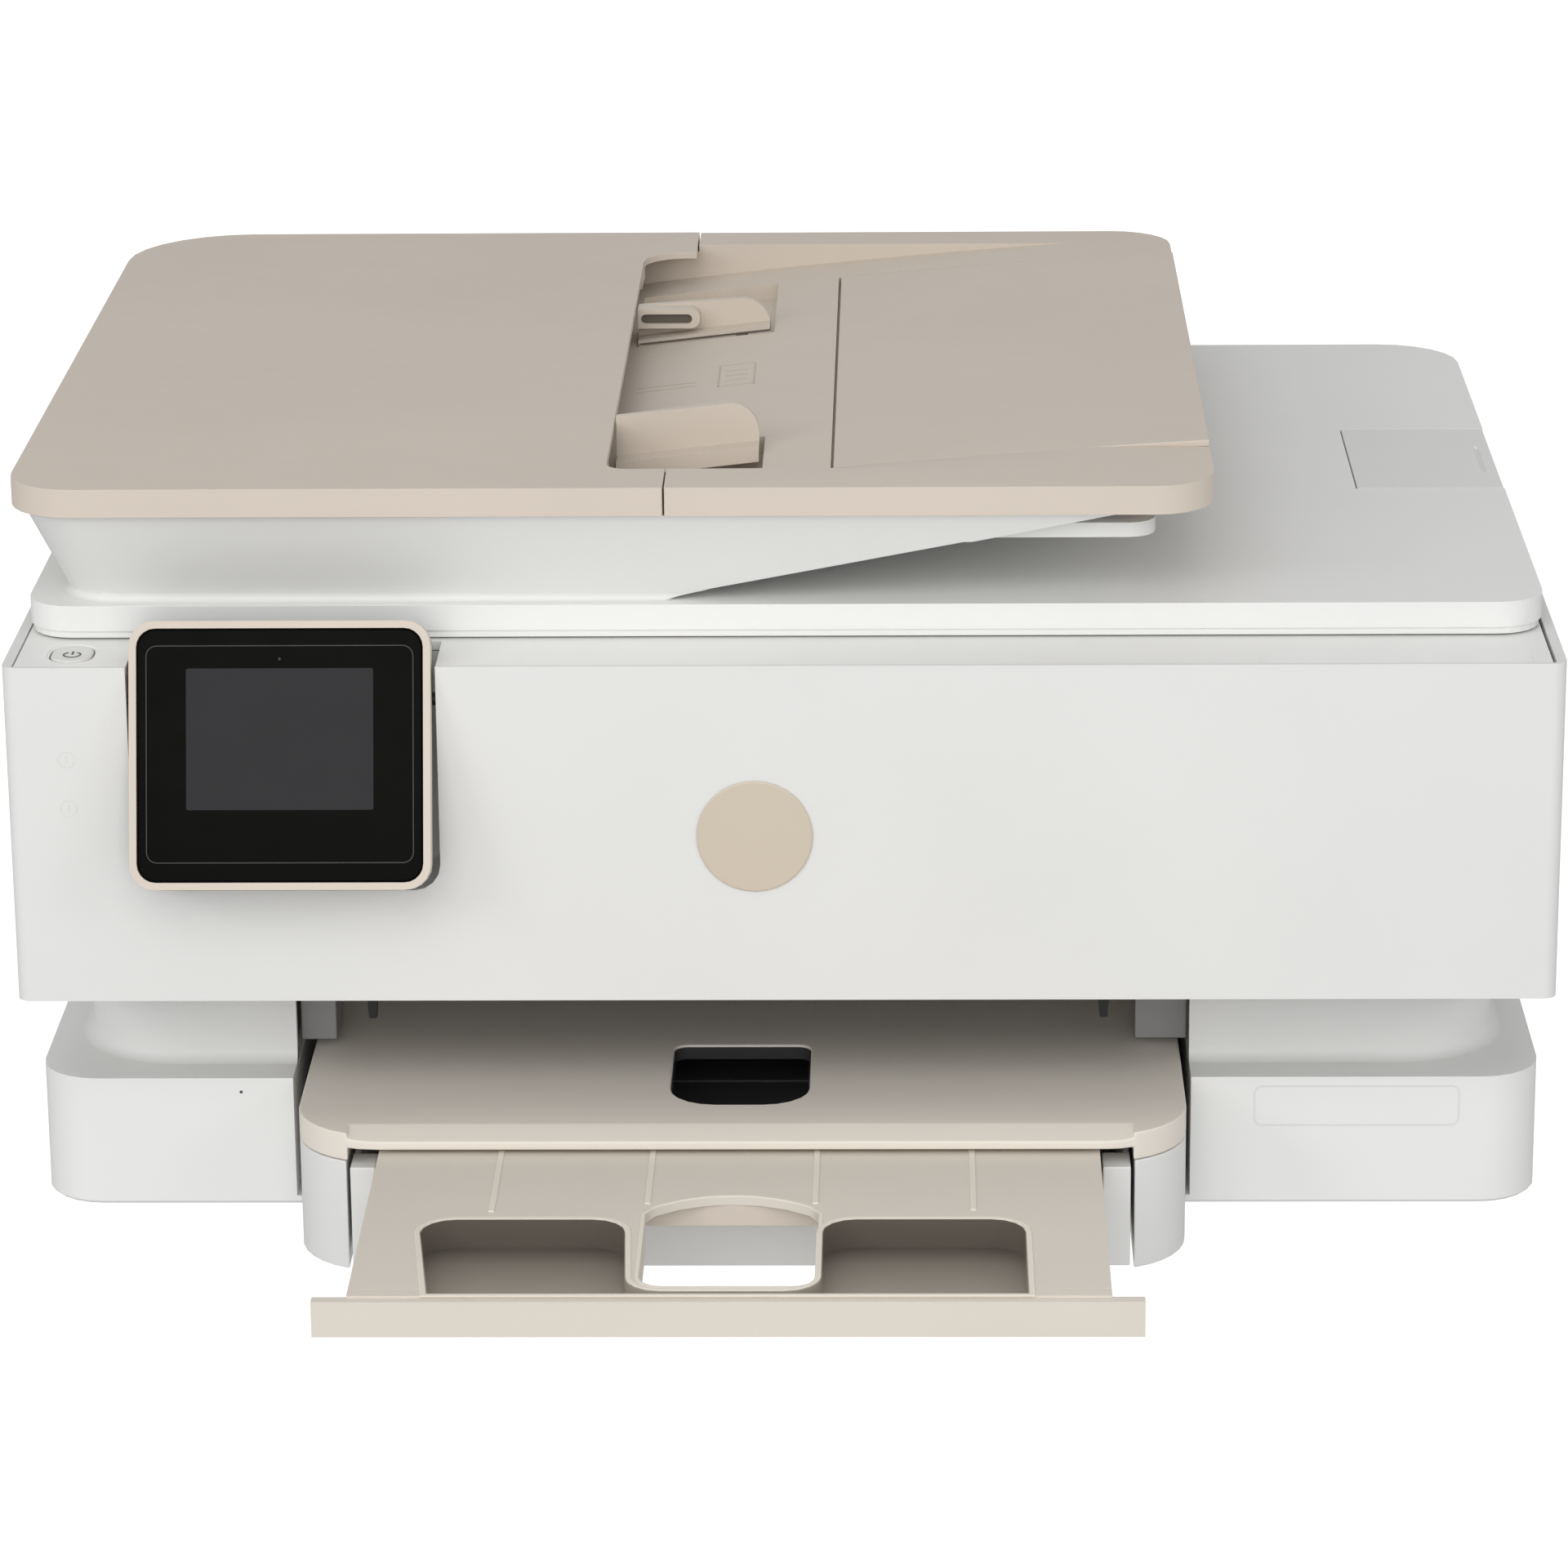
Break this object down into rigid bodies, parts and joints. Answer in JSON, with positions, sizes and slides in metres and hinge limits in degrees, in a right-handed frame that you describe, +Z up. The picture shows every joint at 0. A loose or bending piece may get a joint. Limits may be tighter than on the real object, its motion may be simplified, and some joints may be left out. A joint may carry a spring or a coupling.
{
  "type": "inkjet printer",
  "caption": "Desktop inkjet printer with a tilting control panel, flatbed scanner, automatic document feeder, paper tray and pull-out output extender.",
  "frame": {"origin": "middle of the printer in plan, extender out, on the surface it stands on", "axes": "+X to the right seen from the front, +Y to the back, +Z up"},
  "size_m": [0.461, 0.491, 0.2388],
  "materials": {
    "white_shell": "fine satin texture",
    "deck_grey": "satin",
    "beige_shell": "fine satin texture",
    "black_plastic": "satin",
    "panel_glass": "polished",
    "display": "satin",
    "scan_glass": "clear",
    "dark_plastic": "satin",
    "rubber": "matte",
    "steel": "brushed",
    "foam": "matte foam",
    "board": "solder mask",
    "ink_blue": "satin",
    "nylon": "satin"
  },
  "bodies": {
    "root": {"base_housing": "white_shell", "foot_1": "rubber", "foot_2": "rubber", "foot_3": "rubber", "foot_4": "rubber", "bay_frame": "dark_plastic", "output_tray": "beige_shell", "tray_cheek_left": "white_shell", "tray_cheek_right": "white_shell", "carriage_rail": "steel", "drive_belt": "rubber", "carriage_motor": "steel", "platen": "dark_plastic", "feed_motor": "steel", "main_board": "board", "power_supply": "black_plastic", "power_inlet": "black_plastic", "access_hinge_rod": "steel"},
    "feed_roller": {"feed_roller": "rubber", "feed_gear": "nylon"},
    "motor_pinion": {"motor_pinion": "nylon"},
    "output_roller": {"output_roller": "rubber"},
    "pick_arm": {"pick_arm": "black_plastic"},
    "pick_roller": {"pick_roller": "rubber"},
    "paper_tray": {"paper_tray": "white_shell"},
    "tray_guide_left": {"tray_guide_left": "deck_grey"},
    "tray_guide_right": {"tray_guide_right": "deck_grey"},
    "tray_length_guide": {"tray_length_guide": "deck_grey"},
    "output_extender": {"output_extender": "beige_shell"},
    "rear_access_door": {"rear_access_door": "white_shell"},
    "print_carriage": {"print_carriage": "black_plastic", "cartridge_color": "ink_blue", "cartridge_black": "dark_plastic"},
    "latch_color": {"latch_color": "dark_plastic"},
    "latch_black": {"latch_black": "dark_plastic"},
    "drive_pulley": {"drive_pulley": "nylon"},
    "idler_pulley": {"idler_pulley": "nylon"},
    "service_station": {"service_station": "dark_plastic"},
    "upper_body": {"upper_housing": "white_shell", "scanner_deck": "deck_grey", "scanner_glass": "scan_glass", "badge": "beige_shell", "lid_hinge_rod": "steel"},
    "power_button": {"power_button": "deck_grey"},
    "control_panel": {"panel_bezel": "beige_shell", "panel_housing": "black_plastic", "panel_glass": "panel_glass", "panel_display": "display"},
    "scan_head": {"scan_head": "dark_plastic"},
    "lid": {"scan_lid": "white_shell", "lid_pad": "foam", "feeder_base": "white_shell", "feeder_tray": "beige_shell"},
    "feeder_cover": {"feeder_cover": "beige_shell"},
    "feeder_flap": {"feeder_flap": "beige_shell"},
    "guide_front": {"guide_front": "beige_shell"},
    "guide_rear": {"guide_rear": "beige_shell"},
    "guide_pinion": {"guide_pinion": "nylon"},
    "document_stop": {"document_stop": "white_shell"},
    "feeder_roller": {"feeder_roller": "rubber"}
  },
  "joints": [
    {"name": "feed_roller_spin", "type": "hinge", "parent": "root", "child": "feed_roller", "pos_m": [0, 0.0995, 0.072], "axis": [1, 0, 0], "continuous": true},
    {"name": "motor_pinion_spin", "type": "hinge", "parent": "root", "child": "motor_pinion", "pos_m": [-0.206, 0.0775, 0.0555], "axis": [1, 0, 0], "continuous": true},
    {"name": "output_roller_spin", "type": "hinge", "parent": "root", "child": "output_roller", "pos_m": [0, 0.0255, 0.072], "axis": [1, 0, 0], "continuous": true},
    {"name": "pick_arm_lift", "type": "hinge", "parent": "root", "child": "pick_arm", "pos_m": [-0.0135, 0.1475, 0.058], "axis": [-1, 0, 0], "range_deg": [0, 14]},
    {"name": "pick_roller_spin", "type": "hinge", "parent": "pick_arm", "child": "pick_roller", "pos_m": [-0.0135, 0.1075, 0.0174], "axis": [1, 0, 0], "continuous": true},
    {"name": "paper_tray_slide", "type": "slide", "parent": "root", "child": "paper_tray", "axis": [0, -1, 0], "range_m": [0, 0.25]},
    {"name": "tray_guide_left_slide", "type": "slide", "parent": "paper_tray", "child": "tray_guide_left", "axis": [1, 0, 0], "range_m": [0, 0.055]},
    {"name": "tray_guide_right_slide", "type": "slide", "parent": "paper_tray", "child": "tray_guide_right", "axis": [1, 0, 0], "range_m": [-0.055, 0]},
    {"name": "tray_length_guide_slide", "type": "slide", "parent": "paper_tray", "child": "tray_length_guide", "axis": [0, 1, 0], "range_m": [0, 0.1]},
    {"name": "output_extender_slide", "type": "slide", "parent": "paper_tray", "child": "output_extender", "axis": [0, 1, 0], "range_m": [0, 0.104]},
    {"name": "rear_access_door_hinge", "type": "hinge", "parent": "root", "child": "rear_access_door", "pos_m": [-0.01, 0.2444, 0.0106], "axis": [-1, 0, 0], "range_deg": [0, 80]},
    {"name": "print_carriage_slide", "type": "slide", "parent": "root", "child": "print_carriage", "axis": [1, 0, 0], "range_m": [-0.27, 0]},
    {"name": "latch_color_hinge", "type": "hinge", "parent": "print_carriage", "child": "latch_color", "pos_m": [0.106, 0.112, 0.125], "axis": [-1, 0, 0], "range_deg": [0, 28]},
    {"name": "latch_black_hinge", "type": "hinge", "parent": "print_carriage", "child": "latch_black", "pos_m": [0.154, 0.112, 0.125], "axis": [-1, 0, 0], "range_deg": [0, 28]},
    {"name": "drive_pulley_spin", "type": "hinge", "parent": "root", "child": "drive_pulley", "pos_m": [0.19, 0.1235, 0.11], "axis": [0, 1, 0], "continuous": true},
    {"name": "idler_pulley_spin", "type": "hinge", "parent": "root", "child": "idler_pulley", "pos_m": [-0.19, 0.1235, 0.11], "axis": [0, 1, 0], "continuous": true},
    {"name": "service_station_lift", "type": "slide", "parent": "root", "child": "service_station", "axis": [0, 0, 1], "range_m": [0, 0.003]},
    {"name": "upper_body_hinge", "type": "hinge", "parent": "root", "child": "upper_body", "pos_m": [0, 0.2375, 0.086], "axis": [-1, 0, 0], "range_deg": [0, 30]},
    {"name": "power_button_press", "type": "slide", "parent": "upper_body", "child": "power_button", "axis": [0, 0, -1], "range_m": [0, 0.0015], "stiffness_N_per_m": 300},
    {"name": "control_panel_tilt", "type": "hinge", "parent": "upper_body", "child": "control_panel", "pos_m": [-0.148, -0.1095, 0.1727], "axis": [-1, 0, 0], "range_deg": [-18, 27]},
    {"name": "scan_head_slide", "type": "slide", "parent": "upper_body", "child": "scan_head", "axis": [1, 0, 0], "range_m": [0, 0.298]},
    {"name": "lid_hinge", "type": "hinge", "parent": "upper_body", "child": "lid", "pos_m": [0, 0.2395, 0.19], "axis": [-1, 0, 0], "range_deg": [0, 75]},
    {"name": "feeder_cover_hinge", "type": "hinge", "parent": "lid", "child": "feeder_cover", "pos_m": [-0.228, 0.0755, 0.2253], "axis": [0, -1, 0], "range_deg": [0, 60]},
    {"name": "feeder_flap_hinge", "type": "hinge", "parent": "lid", "child": "feeder_flap", "pos_m": [0.1287, 0.0755, 0.2357], "axis": [0, 1, 0], "range_deg": [0, 170]},
    {"name": "guide_front_slide", "type": "slide", "parent": "lid", "child": "guide_front", "axis": [0, 1, 0], "range_m": [-0.029, 0.01]},
    {"name": "guide_rear_slide", "type": "slide", "parent": "lid", "child": "guide_rear", "axis": [0, 1, 0], "range_m": [-0.01, 0.029]},
    {"name": "guide_pinion_spin", "type": "hinge", "parent": "lid", "child": "guide_pinion", "pos_m": [-0.0305, 0.0645, 0.207], "axis": [0, 0, 1], "range_deg": [-60, 165]},
    {"name": "document_stop_hinge", "type": "hinge", "parent": "lid", "child": "document_stop", "pos_m": [0.2271, 0.0805, 0.1948], "axis": [0, 1, 0], "range_deg": [0, 110]},
    {"name": "feeder_roller_spin", "type": "hinge", "parent": "lid", "child": "feeder_roller", "pos_m": [-0.084, 0.0755, 0.212], "axis": [0, 1, 0], "continuous": true}
  ],
  "couplings": [
    {"joint": "motor_pinion_spin", "follows": "feed_roller_spin", "ratio": -2.8},
    {"joint": "output_roller_spin", "follows": "feed_roller_spin", "ratio": 1.1818},
    {"joint": "tray_guide_right_slide", "follows": "tray_guide_left_slide", "ratio": -1},
    {"joint": "drive_pulley_spin", "follows": "print_carriage_slide", "rad_per_m": 146},
    {"joint": "idler_pulley_spin", "follows": "print_carriage_slide", "rad_per_m": 146},
    {"joint": "guide_rear_slide", "follows": "guide_front_slide", "ratio": -1},
    {"joint": "guide_pinion_spin", "follows": "guide_front_slide", "rad_per_m": -96.62}
  ]
}
